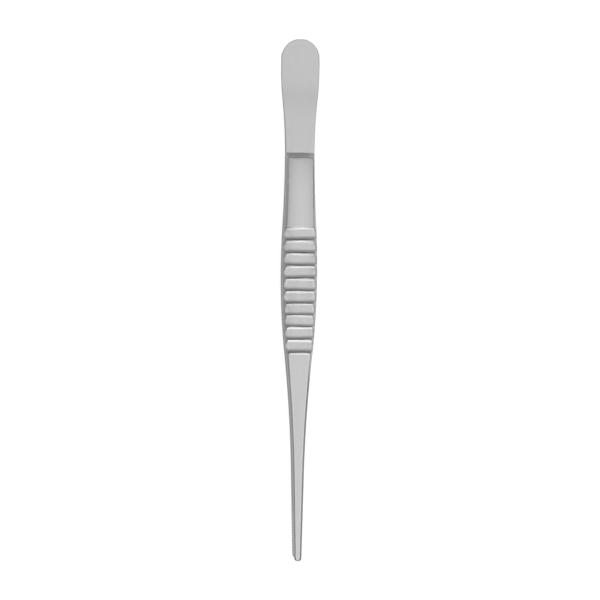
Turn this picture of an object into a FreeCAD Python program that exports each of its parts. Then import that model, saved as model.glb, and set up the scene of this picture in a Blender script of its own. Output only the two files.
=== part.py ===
"""Thumb forceps, 145 mm dressing pattern: two forged spring legs welded face to face at the head.

Frame, millimetres: +X across the legs, +Y towards the head, +Z up.
The pair lies on the back leg's outer face, with the origin midway along it, on the table.
"""
import FreeCAD, Part
import Sketcher
import math
import os

Vector = FreeCAD.Vector

# Driving dimensions; a station is a distance along the leg from the top of the head
SIZES = {
    # plan of a leg
    "overall_length": 145.0,
    "head_width": 10.66,
    "crown_flat": 2.0,
    "shoulder_station": 8.6,
    "neck_station": 16.3,
    "waist_station": 34.0,
    "waist_width": 7.9,
    "flank_station": 51.0,
    "grip_station": 65.6,
    "grip_width": 9.65,
    "hip_radius": 210.0,
    "taper_station": 121.0,
    "taper_width": 3.06,
    "tip_width": 2.05,
    # side of a leg, heights from the plane where the two legs meet
    "spring_thickness": 1.1,
    "weld_length": 10.0,
    "bend_radius": 40.0,
    "step_station": 31.95,
    "step_run": 1.5,
    "step_height": 1.45,
    "panel_end_station": 52.8,
    "panel_radius": 100.0,
    "leg_rise": 7.0,
    "bow_radius": 150.0,
    "grip_thickness": 2.8,
    "jaw_length": 12.0,
    "jaw_root_thickness": 2.0,
    "tip_thickness": 1.4,
    # finishing cuts
    "bevel_width": 0.65,
    "flute_count": 10,
    "flute_pitch": 3.47,
    "flute_depth": 0.5,
    "crest_land": 0.16,
    "serration_count": 14,
    "serration_pitch": 0.8,
    "serration_depth": 0.25,
    "serration_width": 0.6,
    # how far a cutter runs past the metal
    "cutter_margin": 3.0,
}


def fill_sheet(document):
    """Writes the driving dimensions into the document's spreadsheet, one named cell each."""
    sheet = document.addObject("Spreadsheet::Sheet", "Sizes")
    for row, (alias, value) in enumerate(SIZES.items(), start=1):
        sheet.set(f"A{row}", alias)
        sheet.set(f"B{row}", str(value))
        sheet.setAlias(f"B{row}", alias)
    document.recompute()


def origin_item(body, role):
    """One of the body's own origin planes or axes, such as XY_Plane."""
    return next(item for item in body.Origin.OriginFeatures if item.Role == role)


def new_sketch(body, name, role):
    """An empty sketch on one of the body's origin planes."""
    sketch = body.newObject("Sketcher::SketchObject", name)
    sketch.AttachmentSupport = [(origin_item(body, role), "")]
    sketch.MapMode = "FlatFace"
    return sketch


def bind(sketch, name, expression, kind, *places):
    """A named dimension that starts at the drawn value and is driven by the sheet's cells."""
    if kind == "Radius":
        drawn = sketch.Geometry[places[0]].Radius
    else:
        gap = sketch.getPoint(places[2], places[3]) - sketch.getPoint(places[0], places[1])
        drawn = {"DistanceX": gap.x, "DistanceY": gap.y, "Distance": gap.Length}[kind]
    index = sketch.addConstraint(Sketcher.Constraint(kind, *places, drawn))
    sketch.renameConstraint(index, name)
    sketch.setExpression(f"Constraints.{name}", expression)


def fix(sketch, kind, *places):
    """A geometric constraint of the sketch, such as Horizontal or Coincident."""
    sketch.addConstraint(Sketcher.Constraint(kind, *places))


def line(sketch, start, end):
    """A straight edge; gives its number and which of its points are its start and its end."""
    segment = Part.LineSegment(Vector(*start, 0), Vector(*end, 0))
    return sketch.addGeometry(segment, False), 1, 2


def arc(sketch, start, end, bulge):
    """An arc whose middle stands off the chord to the left of the way from start to end.

    An arc is stored anticlockwise, so the start of one that bulges to the left is its point 2.
    """
    a = Vector(*start, 0)
    b = Vector(*end, 0)
    middle = (a + b) * 0.5 + Vector(a.y - b.y, b.x - a.x, 0).normalize() * bulge
    if bulge > 0:
        return sketch.addGeometry(Part.Arc(b, middle, a), False), 2, 1
    return sketch.addGeometry(Part.Arc(a, middle, b), False), 1, 2


def guide_point(sketch, place):
    """A construction point that dimensions refer to."""
    return sketch.addGeometry(Part.Point(Vector(*place, 0)), True), 1


def join(sketch, kind, *edges):
    """Joins each edge's end to the start of the next, as a corner or a tangent run-on."""
    for before, after in zip(edges, edges[1:]):
        fix(sketch, kind, before[0], before[2], after[0], after[1])


def s_curve(sketch, start, end, turn_at):
    """Two arcs between points where the outline runs along Y, turning over at height turn_at.

    Both arcs turn through the same angle, so they meet on the straight line from start to end.
    """
    slope = (end[0] - start[0]) / (end[1] - start[1])
    turning = (start[0] + slope * (turn_at - start[1]), turn_at)
    first = arc(sketch, start, turning, slope * (start[1] - turn_at) / 4)
    second = arc(sketch, turning, end, slope * (end[1] - turn_at) / 4)
    return first, second


def draw_plan(body):
    """Half of a leg's plan: round head, waist, grip and tapering shank, closed on the centre line."""
    s = SIZES
    top = s["overall_length"] / 2
    head_x = s["head_width"] / 2
    crown_x = s["crown_flat"] / 2
    grip_x = s["grip_width"] / 2
    taper_x = s["taper_width"] / 2
    tip_x = s["tip_width"] / 2
    dome_end = (head_x, top - math.sqrt(head_x ** 2 - crown_x ** 2))
    shoulder_end = (head_x, top - s["shoulder_station"])
    waist_end = (s["waist_width"] / 2, top - s["waist_station"])
    grip_end = (grip_x, top - s["grip_station"])
    taper_start = (taper_x, top - s["taper_station"])
    tip_start = (tip_x, tip_x - top)

    # The hip arc is drawn first through about the angle at which the hollow arc takes over
    shank = grip_end[1] - taper_start[1]
    slope = (taper_x - tip_x) / (taper_start[1] - tip_start[1])
    turn = (2 * (grip_x - taper_x) - shank * slope) / (shank - s["hip_radius"] * slope)
    hip_run = s["hip_radius"] * turn
    hollow_run = shank - hip_run
    hip_end = (grip_x - hip_run * turn / 2, grip_end[1] - hip_run)

    sketch = new_sketch(body, "plan_outline", "XY_Plane")
    crown = line(sketch, (0, top), (crown_x, top))
    dome = arc(sketch, (crown_x, top), dome_end, head_x / 5)
    shoulder = line(sketch, dome_end, shoulder_end)
    neck, waist = s_curve(sketch, shoulder_end, waist_end, top - s["neck_station"])
    flank, grip = s_curve(sketch, waist_end, grip_end, top - s["flank_station"])
    hip = arc(sketch, grip_end, hip_end, hip_run * turn / 8)
    hollow = arc(sketch, hip_end, taper_start, -hollow_run * (turn - slope) / 8)
    taper = line(sketch, taper_start, tip_start)
    tip = arc(sketch, tip_start, (0, -top), tip_x / 3)
    centre = line(sketch, (0, -top), (0, top))

    join(sketch, "Coincident", crown, dome)
    join(sketch, "Tangent", dome, shoulder, neck, waist, flank, grip, hip, hollow, taper, tip)
    join(sketch, "Coincident", tip, centre, crown)
    fix(sketch, "PointOnObject", crown[0], 1, -2)
    fix(sketch, "PointOnObject", dome[0], 3, -2)
    fix(sketch, "PointOnObject", tip[0], 3, -2)
    fix(sketch, "PointOnObject", tip[0], tip[2], -2)
    fix(sketch, "Horizontal", crown[0])
    fix(sketch, "Vertical", shoulder[0])
    fix(sketch, "Horizontal", waist[0], 3, waist[0], waist[2])
    fix(sketch, "Horizontal", grip[0], 3, grip[0], grip[2])

    bind(sketch, "top", "Sizes.overall_length / 2", "DistanceY", -1, 1, crown[0], 1)
    bind(sketch, "length", "Sizes.overall_length", "DistanceY", tip[0], tip[2], crown[0], 1)
    for name, edge in (("shoulder", shoulder), ("neck", neck), ("waist", waist),
                       ("flank", flank), ("grip", grip), ("taper", hollow)):
        bind(sketch, f"{name}_at", f"Sizes.{name}_station", "DistanceY", edge[0], edge[2], crown[0], 1)
    for name, edge in (("waist", waist), ("grip", grip), ("taper", hollow)):
        bind(sketch, f"{name}_half", f"Sizes.{name}_width / 2", "DistanceX", -1, 1, edge[0], edge[2])
    bind(sketch, "crown_half", "Sizes.crown_flat / 2", "DistanceX", -1, 1, crown[0], 2)
    bind(sketch, "dome_radius", "Sizes.head_width / 2", "Radius", dome[0])
    bind(sketch, "hip_radius", "Sizes.hip_radius", "Radius", hip[0])
    bind(sketch, "tip_radius", "Sizes.tip_width / 2", "Radius", tip[0])
    return sketch


def close_round(sketch, chain, level):
    """Closes a cutter's outline from the end of its chain of edges back to the start, at a level."""
    first, last = chain[0], chain[-1]
    start = sketch.getPoint(first[0], first[1])
    end = sketch.getPoint(last[0], last[2])
    tip_wall = line(sketch, (end.x, end.y), (end.x, level))
    lid = line(sketch, (end.x, level), (start.x, level))
    head_wall = line(sketch, (start.x, level), (start.x, start.y))
    join(sketch, "Coincident", last, tip_wall, lid, head_wall, first)
    fix(sketch, "Vertical", tip_wall[0])
    fix(sketch, "Horizontal", lid[0])
    fix(sketch, "Vertical", head_wall[0])
    return lid


def draw_side(body):
    """The two cutters that leave a leg's side shape: one above its outer face, one below its inner."""
    s = SIZES
    top = s["overall_length"] / 2
    far = top + s["cutter_margin"]
    level = s["leg_rise"] + s["cutter_margin"]
    plate = s["spring_thickness"]
    rise = s["leg_rise"]
    weld_y = top - s["weld_length"]
    foot_y = top - s["step_station"]
    panel_y = foot_y - s["step_run"]
    panel_end = (top - s["panel_end_station"], rise)
    panel_half = (panel_y - panel_end[0]) / 2
    panel_bulge = panel_half ** 2 / (2 * s["panel_radius"])
    panel_start = (panel_y, rise - 4 * panel_bulge)
    foot = (foot_y, panel_start[1] - s["step_height"])
    inner_radius = s["bend_radius"] + plate
    # Slope of the spring's line, which leaves the bend as a tangent and ends at the foot
    run = weld_y - foot_y
    rise_to_foot = foot[1] - plate
    splay = (run - math.sqrt(run ** 2 - 2 * s["bend_radius"] * rise_to_foot)) / s["bend_radius"]
    inner_offset = inner_radius * splay ** 2 / 2

    def bend_end(radius, height):
        return weld_y - radius * splay, height + radius * splay ** 2 / 2

    jaw_y = s["jaw_length"] - top
    jaw_start = (jaw_y, rise - s["jaw_root_thickness"])
    jaw_slope = (s["jaw_root_thickness"] - s["tip_thickness"]) / s["jaw_length"]
    grip_inner = (panel_end[0], rise - s["grip_thickness"])
    grip_slope = (jaw_start[1] - grip_inner[1]) / (grip_inner[0] - jaw_y)
    # Where the spring's line and the grip's line would cross, with the bow arc either side
    crossing = weld_y * splay - inner_offset - grip_inner[1] - grip_inner[0] * grip_slope
    cross_y = crossing / (splay - grip_slope)
    bow_run = s["bow_radius"] * (splay - grip_slope) / 2
    bow_start = (cross_y + bow_run, (weld_y - cross_y - bow_run) * splay - inner_offset)
    bow_end = (cross_y - bow_run, grip_inner[1] + (grip_inner[0] - cross_y + bow_run) * grip_slope)

    sketch = new_sketch(body, "side_cutters", "YZ_Plane")
    top_mark = guide_point(sketch, (top, 0))
    fix(sketch, "PointOnObject", top_mark[0], 1, -1)
    bind(sketch, "top", "Sizes.overall_length / 2", "DistanceX", -1, 1, *top_mark)

    head = line(sketch, (far, plate), (weld_y, plate))
    bend = arc(sketch, (weld_y, plate), bend_end(s["bend_radius"], plate),
               s["bend_radius"] * splay ** 2 / 8)
    spring = line(sketch, bend_end(s["bend_radius"], plate), foot)
    riser = line(sketch, foot, panel_start)
    panel = arc(sketch, panel_start, panel_end, -panel_bulge)
    face = line(sketch, panel_end, (-far, rise))
    join(sketch, "Tangent", head, bend, spring)
    join(sketch, "Coincident", spring, riser, panel)
    join(sketch, "Tangent", panel, face)
    lid = close_round(sketch, [head, face], level)

    inner_head = line(sketch, (far, 0), (weld_y, 0))
    inner_bend = arc(sketch, (weld_y, 0), bend_end(inner_radius, 0), inner_radius * splay ** 2 / 8)
    inner_spring = line(sketch, bend_end(inner_radius, 0), bow_start)
    bow = arc(sketch, bow_start, bow_end, -bow_run * (splay - grip_slope) / 4)
    inner_grip = line(sketch, bow_end, jaw_start)
    jaw = line(sketch, jaw_start, (-far, jaw_start[1] + jaw_slope * (far + jaw_y)))
    join(sketch, "Tangent", inner_head, inner_bend, inner_spring, bow, inner_grip)
    join(sketch, "Coincident", inner_grip, jaw)
    floor = close_round(sketch, [inner_head, jaw], -level)
    grip_mark = guide_point(sketch, grip_inner)
    tip_mark = guide_point(sketch, (-top, rise - s["tip_thickness"]))

    fix(sketch, "Horizontal", head[0])
    fix(sketch, "Horizontal", face[0])
    fix(sketch, "Horizontal", inner_head[0])
    fix(sketch, "PointOnObject", inner_head[0], 1, -1)
    fix(sketch, "Coincident", inner_bend[0], 3, bend[0], 3)
    fix(sketch, "Parallel", inner_spring[0], spring[0])
    fix(sketch, "PointOnObject", *grip_mark, inner_grip[0])
    fix(sketch, "PointOnObject", *tip_mark, jaw[0])

    bind(sketch, "plate", "Sizes.spring_thickness", "DistanceY", *top_mark, head[0], 1)
    bind(sketch, "weld_at", "Sizes.weld_length", "DistanceX", head[0], 2, *top_mark)
    bind(sketch, "bend_radius", "Sizes.bend_radius", "Radius", bend[0])
    bind(sketch, "step_at", "Sizes.step_station", "DistanceX", riser[0], 1, *top_mark)
    bind(sketch, "step_run", "Sizes.step_run", "DistanceX", riser[0], 2, riser[0], 1)
    bind(sketch, "step_height", "Sizes.step_height", "DistanceY", riser[0], 1, riser[0], 2)
    bind(sketch, "panel_radius", "Sizes.panel_radius", "Radius", panel[0])
    bind(sketch, "panel_end_at", "Sizes.panel_end_station", "DistanceX", face[0], 1, *top_mark)
    bind(sketch, "rise", "Sizes.leg_rise", "DistanceY", *top_mark, face[0], 1)
    bind(sketch, "bow_radius", "Sizes.bow_radius", "Radius", bow[0])
    bind(sketch, "jaw_at", "Sizes.overall_length - Sizes.jaw_length", "DistanceX",
         jaw[0], 1, *top_mark)
    bind(sketch, "grip_at", "Sizes.panel_end_station", "DistanceX", *grip_mark, *top_mark)
    bind(sketch, "tip_at", "Sizes.overall_length", "DistanceX", *tip_mark, *top_mark)
    for name, place in (("grip", grip_mark), ("jaw_root", (jaw[0], 1)), ("tip", tip_mark)):
        bind(sketch, f"{name}_thickness", f"Sizes.leg_rise - Sizes.{name}_thickness", "DistanceY",
             *top_mark, *place)
    for name, edge in (("face", face), ("jaw", jaw)):
        bind(sketch, f"{name}_overrun", "Sizes.overall_length + Sizes.cutter_margin", "DistanceX",
             edge[0], 2, *top_mark)
    for name, edge in (("head", head), ("inner_head", inner_head)):
        bind(sketch, f"{name}_overrun", "Sizes.cutter_margin", "DistanceX", *top_mark, edge[0], 1)
    bind(sketch, "lid_level", "Sizes.leg_rise + Sizes.cutter_margin", "DistanceY", -1, 1, lid[0], 1)
    bind(sketch, "floor_level", "Sizes.leg_rise + Sizes.cutter_margin", "DistanceY",
         floor[0], 1, -1, 1)
    return sketch


def cut_through(body, sketch, name):
    """Cuts a side sketch right across the leg, both ways from the middle plane."""
    pocket = body.newObject("PartDesign::Pocket", name)
    pocket.Profile = sketch
    pocket.Midplane = True
    pocket.setExpression("Length", "Sizes.head_width + 2 * Sizes.cutter_margin")
    return pocket


def outer_height(y):
    """Height of a leg's outer face beyond its step, over the plane where the legs meet."""
    s = SIZES
    into_panel = y - (s["overall_length"] / 2 - s["panel_end_station"])
    if into_panel <= 0:
        return s["leg_rise"]
    return s["leg_rise"] - s["panel_radius"] + math.sqrt(s["panel_radius"] ** 2 - into_panel ** 2)


def long_outer_edges(shape):
    """Names of the edges that run along the outer face from the step round the tip and back."""
    step_top = SIZES["overall_length"] / 2 - SIZES["step_station"] - SIZES["step_run"]
    near = 0.01
    names = []
    for number, edge in enumerate(shape.Edges, start=1):
        points = edge.discretize(3)
        along = edge.BoundBox.YLength > near
        outside = all(abs(p.z - outer_height(p.y)) < near and p.y < step_top + near for p in points)
        if along and outside:
            names.append(f"Edge{number}")
    return names


def draw_flute(body):
    """The round cutter of the first flute, sunk into the outer face where the panel ends."""
    s = SIZES
    half_mouth = (s["flute_pitch"] - s["crest_land"]) / 2
    radius = (half_mouth ** 2 + s["flute_depth"] ** 2) / (2 * s["flute_depth"])
    centre = Vector(s["overall_length"] / 2 - s["panel_end_station"] - s["flute_pitch"] / 2,
                    s["leg_rise"] + radius - s["flute_depth"], 0)
    sketch = new_sketch(body, "flute_cutter", "YZ_Plane")
    circle = sketch.addGeometry(Part.Circle(centre, Vector(0, 0, 1), radius), False)
    bind(sketch, "radius",
         "((Sizes.flute_pitch - Sizes.crest_land)^2 / 4 + Sizes.flute_depth^2) / (2 * Sizes.flute_depth)",
         "Radius", circle)
    bind(sketch, "along", "Sizes.overall_length / 2 - Sizes.panel_end_station - Sizes.flute_pitch / 2",
         "DistanceX", -1, 1, circle, 3)
    bind(sketch, "height", "Sizes.leg_rise - Sizes.flute_depth + Constraints.radius / 1 mm",
         "DistanceY", -1, 1, circle, 3)
    return sketch


def draw_serration(body, phase):
    """The V cutter of the first jaw serration, a phase of the pitch below the jaw's root.

    Its point is one depth inside the metal and its base one depth outside, so the jaw face
    halves each of its sides.
    """
    s = SIZES
    top = s["overall_length"] / 2
    root = Vector(s["jaw_length"] - top, s["leg_rise"] - s["jaw_root_thickness"], 0)
    tip = Vector(-top, s["leg_rise"] - s["tip_thickness"], 0)
    down = (tip - root).normalize()
    inward = Vector(down.y, -down.x, 0)
    centre = root + down * s["serration_pitch"] * phase
    point = centre + inward * s["serration_depth"]
    base = centre - inward * s["serration_depth"]
    lip = centre - down * s["serration_width"] / 2
    corners = [point, base - down * s["serration_width"], base + down * s["serration_width"]]

    sketch = new_sketch(body, "serration_cutter", "YZ_Plane")
    facet = sketch.addGeometry(Part.LineSegment(root, tip), True)
    sides = [line(sketch, (a.x, a.y), (b.x, b.y)) for a, b in zip(corners, corners[1:] + corners[:1])]
    upper, mouth, lower = (side[0] for side in sides)
    lip_mark = guide_point(sketch, (lip.x, lip.y))
    join(sketch, "Coincident", *sides, sides[0])
    fix(sketch, "Parallel", mouth, facet)
    fix(sketch, "Equal", upper, lower)
    fix(sketch, "PointOnObject", *lip_mark, facet)
    fix(sketch, "Symmetric", upper, 1, upper, 2, *lip_mark)
    bind(sketch, "root_at", "Sizes.overall_length / 2 - Sizes.jaw_length", "DistanceX", facet, 1, -1, 1)
    bind(sketch, "root_up", "Sizes.leg_rise - Sizes.jaw_root_thickness", "DistanceY", -1, 1, facet, 1)
    bind(sketch, "tip_at", "Sizes.overall_length / 2", "DistanceX", facet, 2, -1, 1)
    bind(sketch, "tip_up", "Sizes.leg_rise - Sizes.tip_thickness", "DistanceY", -1, 1, facet, 2)
    bind(sketch, "mouth", "2 * Sizes.serration_width", "Distance", mouth, 1, mouth, 2)
    bind(sketch, "flank", "sqrt(4 * Sizes.serration_depth^2 + Sizes.serration_width^2)",
         "Distance", upper, 1, upper, 2)
    bind(sketch, "lip_at", f"Sizes.serration_pitch * {phase} - Sizes.serration_width / 2",
         "Distance", facet, 1, *lip_mark)
    return sketch


def make_leg(name, phase, roll):
    """One leg: its plan padded and mirrored, cut to its side shape, bevelled, fluted and serrated."""
    body = document.addObject("PartDesign::Body", name)
    body.Label = name

    blank = body.newObject("PartDesign::Pad", "blank")
    blank.Profile = draw_plan(body)
    blank.SideType = "Symmetric"
    blank.setExpression("Length", "2 * (Sizes.leg_rise + 0.5 * Sizes.cutter_margin)")
    mirrored = body.newObject("PartDesign::Mirrored", "other_half")
    mirrored.Originals = [blank]
    mirrored.MirrorPlane = (origin_item(body, "YZ_Plane"), [""])
    body.Tip = mirrored

    forged = cut_through(body, draw_side(body), "side_shape")
    document.recompute()

    bevel = body.newObject("PartDesign::Chamfer", "edge_bevel")
    bevel.Base = (forged, long_outer_edges(forged.Shape))
    bevel.setExpression("Size", "Sizes.bevel_width")

    flute = cut_through(body, draw_flute(body), "flute")
    flutes = body.newObject("PartDesign::LinearPattern", "flutes")
    flutes.Originals = [flute]
    flutes.Direction = (origin_item(body, "Y_Axis"), [""])
    flutes.Reversed = True
    flutes.Mode = "Spacing"
    flutes.setExpression("Offset", "Sizes.flute_pitch")
    flutes.setExpression("Occurrences", "Sizes.flute_count")
    body.Tip = flutes

    serration_sketch = draw_serration(body, phase)
    serration = cut_through(body, serration_sketch, "serration")
    serrations = body.newObject("PartDesign::LinearPattern", "serrations")
    serrations.Originals = [serration]
    serrations.Direction = (serration_sketch, ["Axis0"])
    serrations.Mode = "Spacing"
    serrations.setExpression("Offset", "Sizes.serration_pitch")
    serrations.setExpression("Occurrences", "Sizes.serration_count")
    body.Tip = serrations

    body.Placement.Rotation = FreeCAD.Rotation(Vector(0, 1, 0), roll)
    body.setExpression("Placement.Base.z", "Sizes.leg_rise")
    return body


def check(bodies):
    """Stops before anything is written if an object failed or a leg has no valid solid."""
    for item in document.Objects:
        if "Invalid" in item.State or "Error" in item.State:
            raise RuntimeError(f"{item.Label} failed: {item.State}")
    for body in bodies:
        if body.Shape.isNull() or not body.Shape.isValid() or len(body.Shape.Solids) != 1:
            raise RuntimeError(f"{body.Label} is not one valid solid")


document = FreeCAD.newDocument("thumb_forceps")
fill_sheet(document)
legs = [make_leg("front_leg", phase=0.5, roll=0), make_leg("back_leg", phase=1.0, roll=180)]
document.recompute()
check(legs)
os.makedirs("parts", exist_ok=True)
for leg in legs:
    leg.Shape.exportStep(f"parts/{leg.Label}.step")
    print(leg.Label, round(leg.Shape.Volume, 2), "mm3", len(leg.Shape.Faces), "faces", leg.Shape.BoundBox)
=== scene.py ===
"""The thumb forceps dressed for the camera: both legs in satin steel, lying on a white table."""
import math

import bmesh
import bpy
import numpy as np
from mathutils import Matrix, Vector


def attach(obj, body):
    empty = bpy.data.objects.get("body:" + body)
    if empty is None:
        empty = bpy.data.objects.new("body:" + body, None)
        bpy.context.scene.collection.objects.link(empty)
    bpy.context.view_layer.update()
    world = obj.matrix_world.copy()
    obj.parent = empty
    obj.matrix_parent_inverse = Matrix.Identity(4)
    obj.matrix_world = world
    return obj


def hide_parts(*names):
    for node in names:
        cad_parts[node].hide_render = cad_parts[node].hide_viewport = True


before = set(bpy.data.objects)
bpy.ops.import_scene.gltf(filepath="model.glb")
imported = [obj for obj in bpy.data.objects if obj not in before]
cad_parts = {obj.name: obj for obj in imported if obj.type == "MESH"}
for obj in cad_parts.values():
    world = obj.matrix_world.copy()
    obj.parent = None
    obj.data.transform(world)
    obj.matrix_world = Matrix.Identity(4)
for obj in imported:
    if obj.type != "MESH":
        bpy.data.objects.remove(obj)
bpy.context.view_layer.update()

# ---- the legs ----
# Two drop-forged stainless spring legs, ground to width, bevelled along the outer edges, milled
# with ten finger flutes and blasted to a satin finish. They are welded face to face at the head
# and splay apart below it, to serrated jaws that close on each other.

# Lengths are in mm. x runs across a leg and y along it, from the tip, below zero, up to the head.
# Heights, named up, are measured from the plane where the two legs meet.
MM = 0.001
HALF_LENGTH = 72.5

# The outline: centre and radius of the head's arc, half of the short straight at its top, and
# the round end of the tip.
DOME_Y, DOME_RADIUS, DOME_FLAT = 67.264, 5.33, 1
TIP_RADIUS = 1.025
TIP_Y = TIP_RADIUS - HALF_LENGTH

# Its sides: straight down to the shoulder, drawn in to the waist and full again at the grip, with
# the stations where each S turns over. Below the flank's end they taper by so much a mm, and above
# it they are hollow.
SHOULDER_Y, HEAD_TURN = 63.9, 56.2
WAIST_Y, WAIST_HALF, PANEL_TURN = 38.5, 3.95, 21.5
GRIP_Y, GRIP_HALF, HIP_RADIUS = 6.9, 4.825, 210
HIP_END = -15.316
FLANK_END, FLANK_HALF = -48.5, 1.53
TAPER, HOLLOW = 0.02198, 0.0012628

# The spring plate: its thickness, and the bend below the weld, with the slope that it turns to.
PLATE_THICK = 1.1
BEND_Y, BEND_RADIUS = 62.5, 40.0
SPLAY, SPRING_RUN = 0.1327, 24.6

# The face that looks at the other leg: where bow, grip and jaw start, how high and how steep.
BOW_Y, BOW_UP, BOW_RADIUS, BOW_END = 38.01, 2.888, 150, 19.6
GRIP_FACE_Y, GRIP_FACE_UP, GRIP_FACE_SLOPE = 19.7, 4.2, 0.009975
JAW_Y, JAW_UP, JAW_SLOPE = -60.5, 5.0, 0.05
JAW_STRETCH = 1.00125                  # length along the sloping jaw for each mm of y
GROOVES, GROOVE_PITCH, GROOVE_HALF, GROOVE_DEEP = 14, 0.8, 0.3, 0.25

# The raised panel, and foot and ledge of the riser that climbs to it from the spring plate.
PANEL_UP, PANEL_RADIUS = 7, 100
FOOT_Y, FOOT_UP = 40.62, 3.65
LEDGE_Y, LEDGE_UP = 39.38, 5.07

# The crests between the flutes, head first. Milled by eye, they stray from an even pitch.
CRESTS = np.array((19.84, 16.25, 12.68, 9.20, 5.68, 2.24, -1.23, -4.43, -7.71, -11.23, -14.86))
PANEL_END, FLUTES_END = CRESTS[0], CRESTS[-1]
CREST_LAND = 0.16
CUTTER_RADIUS = 2.966

# Plan width of the bevel at stations up the leg.
BEVEL_STATIONS = (-72.5, -38, -23, -15, -5, 7, 17, 27, 39.5)
BEVEL_WIDTHS = (0.52, 0.54, 0.60, 0.78, 1.04, 1.09, 0.95, 0.76, 0.68)

# Crowns: the fall from the middle to this half width, on the plate, the panel and the shank, and
# the dish across a flute.
PLATE_CROWN, PANEL_CROWN, SHANK_CROWN = (0.03, 5), (0.25, 4.4), (0.03, 3)
FLUTE_DISH = (0.16, 4.4)

# The shallow hollow that the forging has at the riser's foot, a little left of the middle.
SCOOP_DEEP, SCOOP_LEFT, SCOOP_ABOVE = 0.10, 0.45, 0.05
SCOOP_HALF_X, SCOOP_HALF_Y = 1.5, 0.6

# Below the last crest the shank is ground lower than the panel by this much.
RELIEF_DEEP = 0.15

# How far hand finishing rounds each fold: panel to bevel, ledge, crests and foot of the riser.
BEVEL_SOFT, LEDGE_SOFT, CREST_SOFT, FOOT_SOFT = 0.06, 0.12, 0.03, 0.05

# Where a section's points lie: over the face and over the bevel, as shares of the way from the
# rim inwards, down the side wall, round the inner corner, and back over the inner face.
FACE_SHARES = np.linspace(1, 0, 12)[:-1]
BEVEL_SHARES = np.array([1, .9, .8, .68, .55, .43, .32, .22, .14, .08, .035, 0])
WALL_SHARES = np.array([0.06, 0.35, 0.65, 0.94])
CORNER_TURN = np.linspace(0, math.pi / 2, 5)
BACK_SHARES = np.linspace(0, 1, 8)[1:]


def smooth_min(a, b, blend):
    """The lower of two heights, rounded where they cross.

    (a + b - sqrt((a - b)^2 + blend^2)) / 2
    """
    return 0.5 * (a + b - np.sqrt((a - b) ** 2 + blend ** 2))


def smooth_max(a, b, blend):
    """The higher of two heights, rounded where they cross."""
    return -smooth_min(-a, -b, blend)


def smooth_step(a, b, t):
    """Goes from 0 at a to 1 at b, level at both ends: u^2 (3 - 2u) with u the share of the way."""
    u = np.clip((t - a) / (b - a), 0, 1)
    return u * u * (3 - 2 * u)


def fallen(x, fall, half):
    """How far a crowned face has fallen at x: fall x (x / half width)^2."""
    return fall * (x / half) ** 2


def half_width(y):
    """Half the plan width: a run of parabolas that meet without a corner.

    From the head down: straight shoulder, S to the waist, S to the grip, round hip, hollow flank
    and a straight taper to the tip. An S is one parabola above its turn and one below it.
    """
    def s_curve(y0, w0, y1, w1, turn):
        u = np.clip((y0 - y) / (y0 - y1), 0, 1)
        t = (y0 - turn) / (y0 - y1)
        rise = np.where(u < t, u * u / t, 1 - (1 - u) ** 2 / (1 - t))
        return w0 + (w1 - w0) * rise

    head = s_curve(SHOULDER_Y, DOME_RADIUS, WAIST_Y, WAIST_HALF, HEAD_TURN)
    panel = s_curve(WAIST_Y, WAIST_HALF, GRIP_Y, GRIP_HALF, PANEL_TURN)
    hip = GRIP_HALF - (GRIP_Y - y) ** 2 / (2 * HIP_RADIUS)
    t = y - FLANK_END
    taper = FLANK_HALF + TAPER * t
    flank = np.where(t > 0, taper + HOLLOW * t * t, taper)
    above_grip = np.where(y > WAIST_Y, head, panel)
    return np.where(y > GRIP_Y, above_grip, np.where(y > HIP_END, hip, flank))


def spring_up(y, level, radius):
    """Height of a face of the spring plate: level at the head, round a bend, and down a slope.

    In the bend it rises by t^2 / (2 radius), with t the distance below the weld.
    """
    t = np.clip(BEND_Y - y, 0, SPRING_RUN)
    bend = radius * SPLAY
    return level + np.where(t < bend, t * t / (2 * radius), SPLAY * (t - bend / 2))


def inner_up(y, inside, first_groove):
    """Height of the face that looks at the other leg: weld, splayed spring, bow, grip and jaw.

    The jaw has V grooves across it: depth x (1 - distance / half width) round each groove's line,
    shallower at the rim, where the edge is polished off. inside is the distance from the rim, and
    first_groove is how far the first line is from the jaw's upper end.
    """
    spring = spring_up(y, 0.0, BEND_RADIUS + PLATE_THICK)
    t = BOW_Y - y
    bow = BOW_UP + SPLAY * t - t * t / (2 * BOW_RADIUS)
    grip = GRIP_FACE_UP + GRIP_FACE_SLOPE * (GRIP_FACE_Y - y)
    jaw = JAW_UP + JAW_SLOPE * (JAW_Y - y)
    below_bow = np.where(y > JAW_Y, grip, jaw)
    plain = np.where(y > BOW_Y, spring, np.where(y > BOW_END, bow, below_bow))
    down = (JAW_Y - y) * JAW_STRETCH
    number = np.clip(np.round((down - first_groove) / GROOVE_PITCH), 0, GROOVES - 1)
    line = number * GROOVE_PITCH + first_groove
    depth = GROOVE_DEEP * (0.35 + 0.65 * smooth_step(0.1, 0.5, inside))
    return plain + np.maximum(0, depth * (1 - np.abs(down - line) / GROOVE_HALF))


def bevel_width(y, facing):
    """Plan width of the bevel: widest at the grip, slim along the shank, uneven side to side.

    The width at a station is the mean over 3 mm either way, so that it changes without a corner.
    facing is the share of the outward direction that points right, from -1 to 1.
    """
    nearby = y[..., None] + np.linspace(-3, 3, 7)
    width = np.interp(nearby, BEVEL_STATIONS, BEVEL_WIDTHS).mean(-1)
    shank = smooth_step(-15, -23, y)
    return width * (1 - 0.08 * facing) + 0.2 * shank * np.clip(facing, 0, 1)


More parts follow.
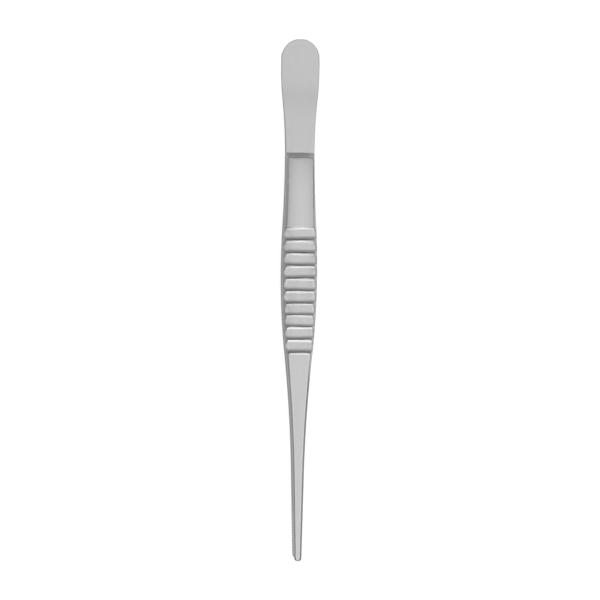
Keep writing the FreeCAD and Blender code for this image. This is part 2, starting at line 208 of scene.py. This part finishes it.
def bevel_slope(y, facing):
    """Fall of the bevel for each mm outwards, as the hand grinding left it.

    On the right it is steeper along the grip and flatter beside the upper panel and the shank. On
    the left it is steeper beside the upper panel.
    """
    grip = smooth_step(-24, -16, y) * smooth_step(42, 16, y)
    upper = smooth_step(19, 29, y)
    on_right = np.clip(facing, 0, 1) * (0.32 * grip - 0.12 - 0.10 * upper)
    on_left = 0.13 * upper * np.clip(-facing, 0, 1)
    return 0.68 + on_right + on_left


def flute_up(x, y):
    """Height of the flutes: between each crest and the next, an arc of the cutter's radius.

    middle = halfway between the crests, tilted and waved by a few hundredths of a mm
    deepest = radius - sqrt(radius^2 - half chord^2), also a little uneven
    height = panel + radius - deepest - dish towards the sides - sqrt(radius^2 - (y - middle)^2)
    """
    number = np.clip(np.searchsorted(-CRESTS, -y) - 1, 0, len(CRESTS) - 2)
    above, below = CRESTS[number], CRESTS[number + 1]
    tilt = 0.015 * np.sin(2.4 * number + 1.0)
    wave = 0.03 * np.sin(0.9 * x + 2.2 * number) + 0.015 * np.sin(2.6 * x + 1.1 * number)
    middle = (above + below) / 2 + tilt * x + wave
    half_chord = (above - below - CREST_LAND) / 2
    deepest = CUTTER_RADIUS - np.sqrt(CUTTER_RADIUS ** 2 - half_chord ** 2)
    deepest = deepest + 0.02 * np.sin(1.1 * x + number)
    arc = np.sqrt(np.maximum(CUTTER_RADIUS ** 2 - (y - middle) ** 2, 0))
    clear = PANEL_UP + 2.0
    height = PANEL_UP + CUTTER_RADIUS - deepest - fallen(x, *FLUTE_DISH) - arc
    return np.where(y > PANEL_END + 1.2, clear, height)


def outer_up(x, y, edge, facing):
    """Height of the outer face; edge is how far the point is inside the outline.

    spring = the plate, slightly crowned, with a shallow hollow at the foot of the riser
    panel = level, then falling away along an arc up to the ledge
    bevel = panel - slope x (bevel width - edge)
    slab = the lowest of crowned panel, bevel, riser and flutes
    height = the higher of spring and slab, less a quarter round along the rim
    """
    sideways, upwards = (x + SCOOP_LEFT) / SCOOP_HALF_X, (y - FOOT_Y - SCOOP_ABOVE) / SCOOP_HALF_Y
    scoop = SCOOP_DEEP * np.maximum(0, 1 - sideways ** 2 - upwards ** 2)
    spring = spring_up(y, PLATE_THICK, BEND_RADIUS) - fallen(x, *PLATE_CROWN) - scoop
    along = np.maximum(y - PANEL_END, 0)
    panel = PANEL_UP - (PANEL_RADIUS - np.sqrt(PANEL_RADIUS ** 2 - along ** 2))
    crown = (fallen(x, *PANEL_CROWN) * smooth_step(-16, 20, y)
             + fallen(x, *SHANK_CROWN) * smooth_step(10, -16, y))
    relief = RELIEF_DEEP * smooth_step(FLUTES_END - 0.10, FLUTES_END - 0.46, y)
    worn_corner = 0.25 * smooth_step(1.8, 0.2, edge) * smooth_step(0, 3, x)
    climb = (LEDGE_UP - FOOT_UP) / (FOOT_Y - LEDGE_Y)
    riser = LEDGE_UP - (y + worn_corner - LEDGE_Y) * climb
    bevel = panel - bevel_slope(y, facing) * (bevel_width(y, facing) - edge)

    slab = smooth_min(panel - crown - relief, bevel, BEVEL_SOFT)
    slab = smooth_min(slab, riser, LEDGE_SOFT)
    slab = smooth_min(slab, flute_up(x, y), CREST_SOFT)
    up = smooth_max(spring, slab, FOOT_SOFT)
    round_off = 0.07 + 0.06 * smooth_step(39, 42, y) + 0.07 * smooth_step(62, 68, y)
    inside = np.maximum(round_off - edge, 0)
    return up - (round_off - np.sqrt(np.maximum(round_off ** 2 - inside ** 2, 0)))


def stations():
    """Points down the right of the outline, head to tip, and the centre each is measured from.

    They stand close together at the riser, at the crests and along the jaw.
    """
    def run(start, end, count):
        return np.linspace(start, end, count, endpoint=False)

    flat = [(x, HALF_LENGTH, 0, DOME_Y) for x in (0, DOME_FLAT / 2)]
    dome = [(DOME_RADIUS * math.cos(a), DOME_Y + DOME_RADIUS * math.sin(a), 0, DOME_Y)
            for a in run(math.acos(DOME_FLAT / DOME_RADIUS), 0, 25)]
    near_crest = np.array([0, .011, .025, .043, .066, .1, .15, .22, .31, .4])
    flute = np.concatenate([near_crest, [0.5], 1 - near_crest[:0:-1]])
    above_riser, above_crest, below_crest = 41.3, 20.6, FLUTES_END - 0.6
    rows = np.concatenate([
        run(DOME_Y, above_riser, 28),
        run(above_riser, WAIST_Y, 31),
        run(WAIST_Y, above_crest, 26),
        run(above_crest, PANEL_END, 7),
        (CRESTS[:-1, None] + np.diff(CRESTS)[:, None] * flute).ravel(),
        run(FLUTES_END, below_crest, 9),
        run(below_crest, JAW_Y, 50),
        np.arange(JAW_Y, TIP_Y + 0.05, -0.1 / JAW_STRETCH),
    ])
    sides = [(w, y, 0, y) for w, y in zip(half_width(rows), rows)]
    tip = [(TIP_RADIUS * math.cos(a), TIP_Y - TIP_RADIUS * math.sin(a), 0, TIP_Y)
           for a in np.linspace(0, math.pi / 2, 14)]
    return np.array(flat + dome + sides + tip)


def leg_finish(top, top_up, edge, width, rim_y, shape):
    """How each point is finished, and where shade and highlight are painted on it, as layers from
    0 to 1 with the shape of the rings.

    wear = rubbed bright, and lighter still as a painted highlight: crests, the fold from panel to
    bevel and the rim side = the ground side walls, rougher than the faces, and darker as painted
    shade dull = painted shade at the riser's foot and on the inner faces, darker towards the head;
    all of it also a little rougher
    milled = the flutes, with the cutter's lines across them, a little darker as painted shade
    tarnish = painted shade round the very tip, and in the creases where a flute ends below a crest
    """
    outer = slice(0, edge.shape[1])
    walls = slice(edge.shape[1] - 1, edge.shape[1] + len(WALL_SHARES) + 1)
    inner = slice(-len(BACK_SHARES) - 1, None)
    x, y = top[..., 0], top[..., 1]
    low = PANEL_UP - top_up
    fluted = (y < PANEL_END + 0.3) & (y > FLUTES_END - 0.3)
    crest = smooth_step(0.14, 0.03, low) * fluted
    fold = np.exp(-((edge - width) / 0.13) ** 2) * (y < LEDGE_Y)
    rim = np.exp(-(edge / 0.12) ** 2)
    foot = np.exp(-((y - FOOT_Y) / 0.2) ** 2)

    wear_and_highlight, side, dull_and_shade, milled, tip_and_crease_shade = np.zeros((5,) + shape)
    # Painted highlight on top of real rubbing: the crests, the fold from panel to bevel and the
    # rim.
    wear_and_highlight[:, outer] = np.maximum(crest, np.maximum(0.8 * fold, rim))
    # The side walls: ground rougher, and darker as painted shade.
    side[:, walls] = 1
    # Painted shade at the riser's foot and on the inner faces, and darker towards the head.
    dull_and_shade[:, outer] = np.maximum(foot, 0.3 * smooth_step(50, 58, y))
    dull_and_shade[:, inner] = np.where(rim_y < JAW_Y, 0.6, 0.3)
    # The flutes: the cutter's lines, and a little darker as painted shade.
    milled[:, outer] = smooth_step(0.03, 0.12, low) * fluted
    # Painted shade: a dark rim round the end of the tip, and dark creases below the crests,
    # stronger to the left.
    end_rim = smooth_step(0.34, 0.10, edge) * smooth_step(-71.4, -71.8, rim_y)
    crest_below = CRESTS[np.clip(np.searchsorted(-CRESTS, -y), 0, len(CRESTS) - 1)]
    crease = smooth_step(0.65, 0.25, y - crest_below) * smooth_step(0.5 * width, 0.9 * width, edge)
    crease = 0.45 * crease * milled[:, outer] * (1 - 0.6 * smooth_step(-1, 4, x))
    tip_and_crease_shade[:, outer] = np.maximum(end_rim, crease)
    return {"wear_and_highlight": wear_and_highlight, "side": side, "dull_and_shade": dull_and_shade, "milled": milled, "tip_and_crease_shade": tip_and_crease_shade}


def leg_surface(first_groove):
    """Closed skin of a leg, mm, as points, four-cornered faces and the layers of its finish and
    painted light.

    Ring after ring round the outline, each a section from the middle of the outer face out over
    the bevel, down the side, round the inner corner and back to the middle of the inner face.
    """
    right = stations()
    left = right[-2:0:-1] * (-1, 1, 1, 1)
    ring = np.concatenate([right, left])
    rim, centre = ring[:, None, :2], ring[:, None, 2:]
    rim_y = rim[..., 1]
    reach = np.linalg.norm(rim - centre, axis=2)
    inward = (centre - rim) / reach[..., None]
    facing = rim[..., 0] / reach

    width = bevel_width(rim_y, facing)
    edge = np.concatenate([width + (reach - width) * FACE_SHARES, width * BEVEL_SHARES], axis=1)
    top = rim + inward * edge[..., None]
    top_up = outer_up(top[..., 0], top[..., 1], edge, facing)

    soft = 0.05 + 0.13 * smooth_step(60, 52, rim_y) - 0.10 * smooth_step(-55, -60, rim_y)
    corner_in = soft * (1 - np.cos(CORNER_TURN))
    corner = rim + inward * corner_in[..., None]
    corner_up = inner_up(corner[..., 1], corner_in, first_groove)
    corner_up = corner_up + soft * (1 - np.sin(CORNER_TURN))
    wall_up = top_up[:, -1:] + (corner_up[:, :1] - top_up[:, -1:]) * WALL_SHARES
    wall = np.broadcast_to(rim, wall_up.shape + (2,))
    back_in = soft + (reach - soft) * BACK_SHARES
    back = rim + inward * back_in[..., None]
    back_up = inner_up(back[..., 1], back_in, first_groove)

    plan = np.concatenate([top, wall, corner, back], axis=1)
    up = np.concatenate([top_up, wall_up, corner_up, back_up], axis=1)
    points = np.concatenate([plan, up[..., None]], axis=2)
    finish = leg_finish(top, top_up, edge, width, rim_y, up.shape)

    rings, steps = up.shape
    i, j = np.meshgrid(np.arange(rings), np.arange(steps - 1), indexing="ij")
    here, there = i * steps + j, (i + 1) % rings * steps + j
    faces = np.stack([here, there, there + 1, here + 1], axis=-1)
    finish = {name: values.ravel() for name, values in finish.items()}
    return points.reshape(-1, 3), faces.reshape(-1, 4), finish


def add_object(name, data):
    """A new object in the scene, at the origin, that shows this mesh, lamp or camera."""
    thing = bpy.data.objects.new(name, data)
    bpy.context.scene.collection.objects.link(thing)
    return thing


def make_leg(name, node, first_groove, half):
    """One leg as an object; half is 1 above the plane where the legs meet, -1 for the leg below.

    The lower leg is the same stamping turned half round its length, and lies on the table.
    """
    points, faces, finish = leg_surface(first_groove)
    placed = points * (half, 1, half) * MM + (0, 0, PANEL_UP * MM)
    mesh = bpy.data.meshes.new(name)
    mesh.from_pydata(placed.tolist(), [], faces.tolist())
    for layer, values in finish.items():
        attribute = mesh.attributes.new(layer, "FLOAT", "POINT")
        attribute.data.foreach_set("value", values.astype(np.float32))
    skin = bmesh.new()
    skin.from_mesh(mesh)
    bmesh.ops.remove_doubles(skin, verts=skin.verts, dist=1e-6)
    skin.to_mesh(mesh)
    skin.free()
    mesh.shade_smooth()
    leg = add_object(name, mesh)
    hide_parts(node)
    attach(leg, "root")
    return leg


class Shade:
    """One value of a shader tree; sums and products of them become Math nodes."""

    def __init__(self, tree, socket):
        self.tree = tree
        self.socket = socket

    def math(self, kind, *inputs):
        """A Math node of the given kind over these inputs, which are values or plain numbers."""
        return self.tree.node("ShaderNodeMath", {"operation": kind}, dict(enumerate(inputs)))

    def __add__(self, other):
        return self.math("ADD", self, other)

    __radd__ = __add__

    def __sub__(self, other):
        return self.math("SUBTRACT", self, other)

    def __rsub__(self, other):
        return self.math("SUBTRACT", other, self)

    def __mul__(self, other):
        return self.math("MULTIPLY", self, other)

    __rmul__ = __mul__

    def __abs__(self):
        return self.math("ABSOLUTE", self)

    def at_least(self, other):
        """The higher of this value and another."""
        return self.math("MAXIMUM", self, other)

    def __getitem__(self, name):
        """Another output of the same node, by name."""
        return Shade(self.tree, self.socket.node.outputs[name])


class Shader:
    """The node tree of a material or of the world, emptied and built up again by name."""

    def __init__(self, owner):
        owner.use_nodes = True
        self.nodes = owner.node_tree.nodes
        self.links = owner.node_tree.links
        self.nodes.clear()

    def node(self, kind, settings=None, inputs=None):
        """Adds a node: its settings are set first, then each input gets a value or a link."""
        node = self.nodes.new(kind)
        for name, value in (settings or {}).items():
            setattr(node, name, value)
        for name, value in (inputs or {}).items():
            if isinstance(value, Shade):
                self.links.new(value.socket, node.inputs[name])
            else:
                node.inputs[name].default_value = value
        return Shade(self, next((s for s in node.outputs if s.enabled), None))

    def mix_colour(self, share, first, second):
        """A colour between two, by a share from 0 to 1."""
        mixed = self.node("ShaderNodeMix", {"data_type": "RGBA"}, {0: share, 6: first, 7: second})
        return mixed["Result"]


def grey(level):
    """A neutral colour."""
    return (level, level, level, 1)


def satin_steel():
    """Stainless steel blasted to a satin grain, over faint grinding lines that run down the leg.

    bands and mottle = broad faint streaks from the polishing belt, and small uneven patches
    lines = fine and lengthwise, and in the flutes the cutter's, which run across
    tone = 0.5 + bands + mottle + lines + wear - side - dull - milled, from a dark to a light
    steel;
    wear adds painted highlight, and side, dull and milled take it down as painted shade
    roughness = 0.30 + bands + lines + grain - wear + side + dull
    Patterns are sized in cells a metre, along x, y and z where they are drawn out.
    """
    material = bpy.data.materials.new("satin_steel")
    tree = Shader(material)
    place = tree.node("ShaderNodeTexCoord")["Object"]
    dark, light, shade_grey = grey(0.50), grey(0.70), grey(0.12)

    def drawn_out(*cells):
        return tree.node("ShaderNodeVectorMath", {"operation": "MULTIPLY"}, {0: place, 1: cells})

    def noise(vector, scale=1.0, detail=3.0):
        """Noise from about -0.5 to 0.5."""
        return tree.node("ShaderNodeTexNoise", {}, {
            "Vector": vector, "Scale": scale, "Detail": detail, "Roughness": 0.55}) - 0.5

    bands = noise(drawn_out(480, 42, 480))
    mottle = noise(place, 1300)
    lengthwise = noise(drawn_out(5200, 190, 5200))
    across = noise(drawn_out(330, 4200, 4200))
    grain = noise(place, 9500, 2.0)
    wear_and_highlight, side, dull_and_shade, milled, tip_and_crease_shade = (
        tree.node("ShaderNodeAttribute", {"attribute_name": name})["Fac"]
        for name in ("wear_and_highlight", "side", "dull_and_shade", "milled", "tip_and_crease_shade"))

    lines = lengthwise + milled * (1.2 * across - lengthwise)
    grain = grain * (1 - 0.75 * milled)
    # Painted light in the tone: wear adds a painted highlight on crests, fold and rim, and side,
    # dull and milled take off tone as painted shade.
    tone = (0.5 + 0.42 * bands + 0.20 * mottle + 0.20 * lines
            + 0.25 * wear_and_highlight - 0.18 * side - 0.25 * dull_and_shade - 0.06 * milled)
    colour = tree.mix_colour(tone, dark, light)
    # Painted shade: the rim round the tip and the creases below the crests go towards a near black
    # grey.
    colour = tree.mix_colour(0.8 * tip_and_crease_shade, colour, shade_grey)
    rough = (0.30 + 0.08 * bands + 0.07 * lines + 0.05 * grain
             - 0.05 * wear_and_highlight + 0.08 * side + 0.06 * dull_and_shade)
    height = grain + 0.5 * lines + 0.3 * mottle
    normal = tree.node("ShaderNodeBump", {}, {
        "Strength": 0.35, "Distance": 8e-6, "Height": height})
    shader = tree.node("ShaderNodeBsdfPrincipled", {}, {
        "Base Color": colour,
        "Metallic": 1.0,
        "Roughness": rough,
        "Normal": normal,
    })
    tree.node("ShaderNodeOutputMaterial", {}, {"Surface": shader})
    return material


steel = satin_steel()
legs = [
    make_leg("front_leg_skin", "front_leg", first_groove=0.4, half=1),
    make_leg("back_leg_skin", "back_leg", first_groove=0.8, half=-1),
]
for leg in legs:
    leg.data.materials.append(steel)

# ---- floor ----
# A table covered in white paper, 6 m wide, on which the lower leg lies. The paper glows to the
# camera, and a little to the steel that mirrors it, and its diffuse part keeps the shadow.

FLOOR_HALF = 3
floor_mesh = bpy.data.meshes.new("floor")
corners = [(FLOOR_HALF * x, FLOOR_HALF * y, 0) for x, y in ((-1, -1), (1, -1), (1, 1), (-1, 1))]
floor_mesh.from_pydata(corners, [], [(0, 1, 2, 3)])
floor = add_object("floor", floor_mesh)
paper = bpy.data.materials.new("paper")
tree = Shader(paper)
diffuse = tree.node("ShaderNodeBsdfDiffuse", {}, {"Color": grey(0.9)})
path = tree.node("ShaderNodeLightPath")
glow = tree.node("ShaderNodeEmission", {}, {
    "Color": grey(1),
    "Strength": 0.65 * path["Is Camera Ray"] + 0.2 * path["Is Glossy Ray"],
})
both = tree.node("ShaderNodeAddShader", {}, {0: diffuse, 1: glow})
tree.node("ShaderNodeOutputMaterial", {}, {"Surface": both})
floor_mesh.materials.append(paper)

# ---- light ----
# Fabric softboxes on stands: a long one overhead, which the flat faces mirror, a bright strip in
# front, which draws the line under each crest, and weaker ones at the sides and behind.


def softbox(name, place, aim, size, radiance):
    """A rectangular softbox at place facing aim; power = radiance x pi x its area."""
    lamp = bpy.data.lights.new(name, "AREA")
    lamp.shape = "RECTANGLE"
    lamp.size, lamp.size_y = size
    lamp.energy = radiance * math.pi * size[0] * size[1]
    box = add_object(name, lamp)
    box.location = place
    box.rotation_euler = (Vector(aim) - Vector(place)).to_track_quat("-Z", "Y").to_euler()


softbox("overhead", (0.08, -0.53, 1.3), (0.08, -0.53, 0), (0.6, 2.54), 0.97)
softbox("back_top", (0.08, 0.53, 1.3), (0.08, 0.53, 0), (0.6, 0.42), 0.12)
softbox("back_fill", (0.1, 1.1, 1.25), (0, 0, 0), (0.8, 0.5), 0.32)
softbox("front_strip", (0.1, -1.5, 0.72), (0, 0, 0), (1.4, 0.55), 2.0)
softbox("right_side", (1.3, 0, 0.38), (0, 0, 0), (1.8, 0.6), 0.62)
softbox("left_side", (-1.2, 0, 0.65), (0, 0, 0), (1.8, 0.5), 0.30)
softbox("back_left", (-0.85, 0.85, 0.6), (0, 0, 0), (0.7, 0.7), 0.7)
softbox("back_right", (0.85, 0.85, 0.6), (0, 0, 0), (0.7, 0.7), 0.7)

# ---- the room ----
# Plain white to the camera. To the steel and the paper it is a dim studio, brighter along the
# horizon and towards the walls at the left and the right.

world = bpy.data.worlds.new("world")
bpy.context.scene.world = world
tree = Shader(world)
direction = tree.node("ShaderNodeTexCoord")["Generated"]
parts = tree.node("ShaderNodeSeparateXYZ", {}, {0: direction})
level, sideways = parts["Z"], abs(parts["X"])


def ramp(value, start, end):
    """Goes smoothly from 0 at start to 1 at end."""
    return tree.node("ShaderNodeMapRange", {"interpolation_type": "SMOOTHSTEP"}, {
        "Value": value, "From Min": start, "From Max": end})


horizon = (1 - 3.0 * abs(level)).at_least(0.0)
walls = ramp(sideways, 0.22, 0.42) * ramp(sideways, 0.78, 0.62)
seen = tree.node("ShaderNodeLightPath")["Is Camera Ray"]
strength = seen.at_least(0.18 + 0.38 * horizon + 0.14 * walls)
sky = tree.node("ShaderNodeBackground", {}, {"Color": grey(1), "Strength": strength})
tree.node("ShaderNodeOutputWorld", {}, {"Surface": sky})

# ---- camera ----
# A long lens on an arm almost straight above the legs. It leans a little to the left, so that the
# edge of the lower leg shows beside the upper one, and is turned by less than half a degree.

distance = 0.85
lean = math.radians(2.6)
turn = math.radians(0.41)
target = Vector((0.0002, -0.00014, 0.011))
lens = bpy.data.cameras.new("camera")
lens.lens = 183.7
lens.sensor_width = 36
camera = add_object("camera", lens)
away = Vector((-math.sin(lean), 0, math.cos(lean)))
across = Vector((math.cos(lean), 0, math.sin(lean)))
upward = away.cross(across)
right_axis = across * math.cos(turn) + upward * math.sin(turn)
up_axis = away.cross(right_axis)
axes = Matrix((right_axis, up_axis, away)).transposed().to_4x4()
camera.matrix_world = Matrix.Translation(target + away * distance) @ axes
bpy.context.scene.camera = camera
bpy.context.scene.view_settings.view_transform = "Standard"
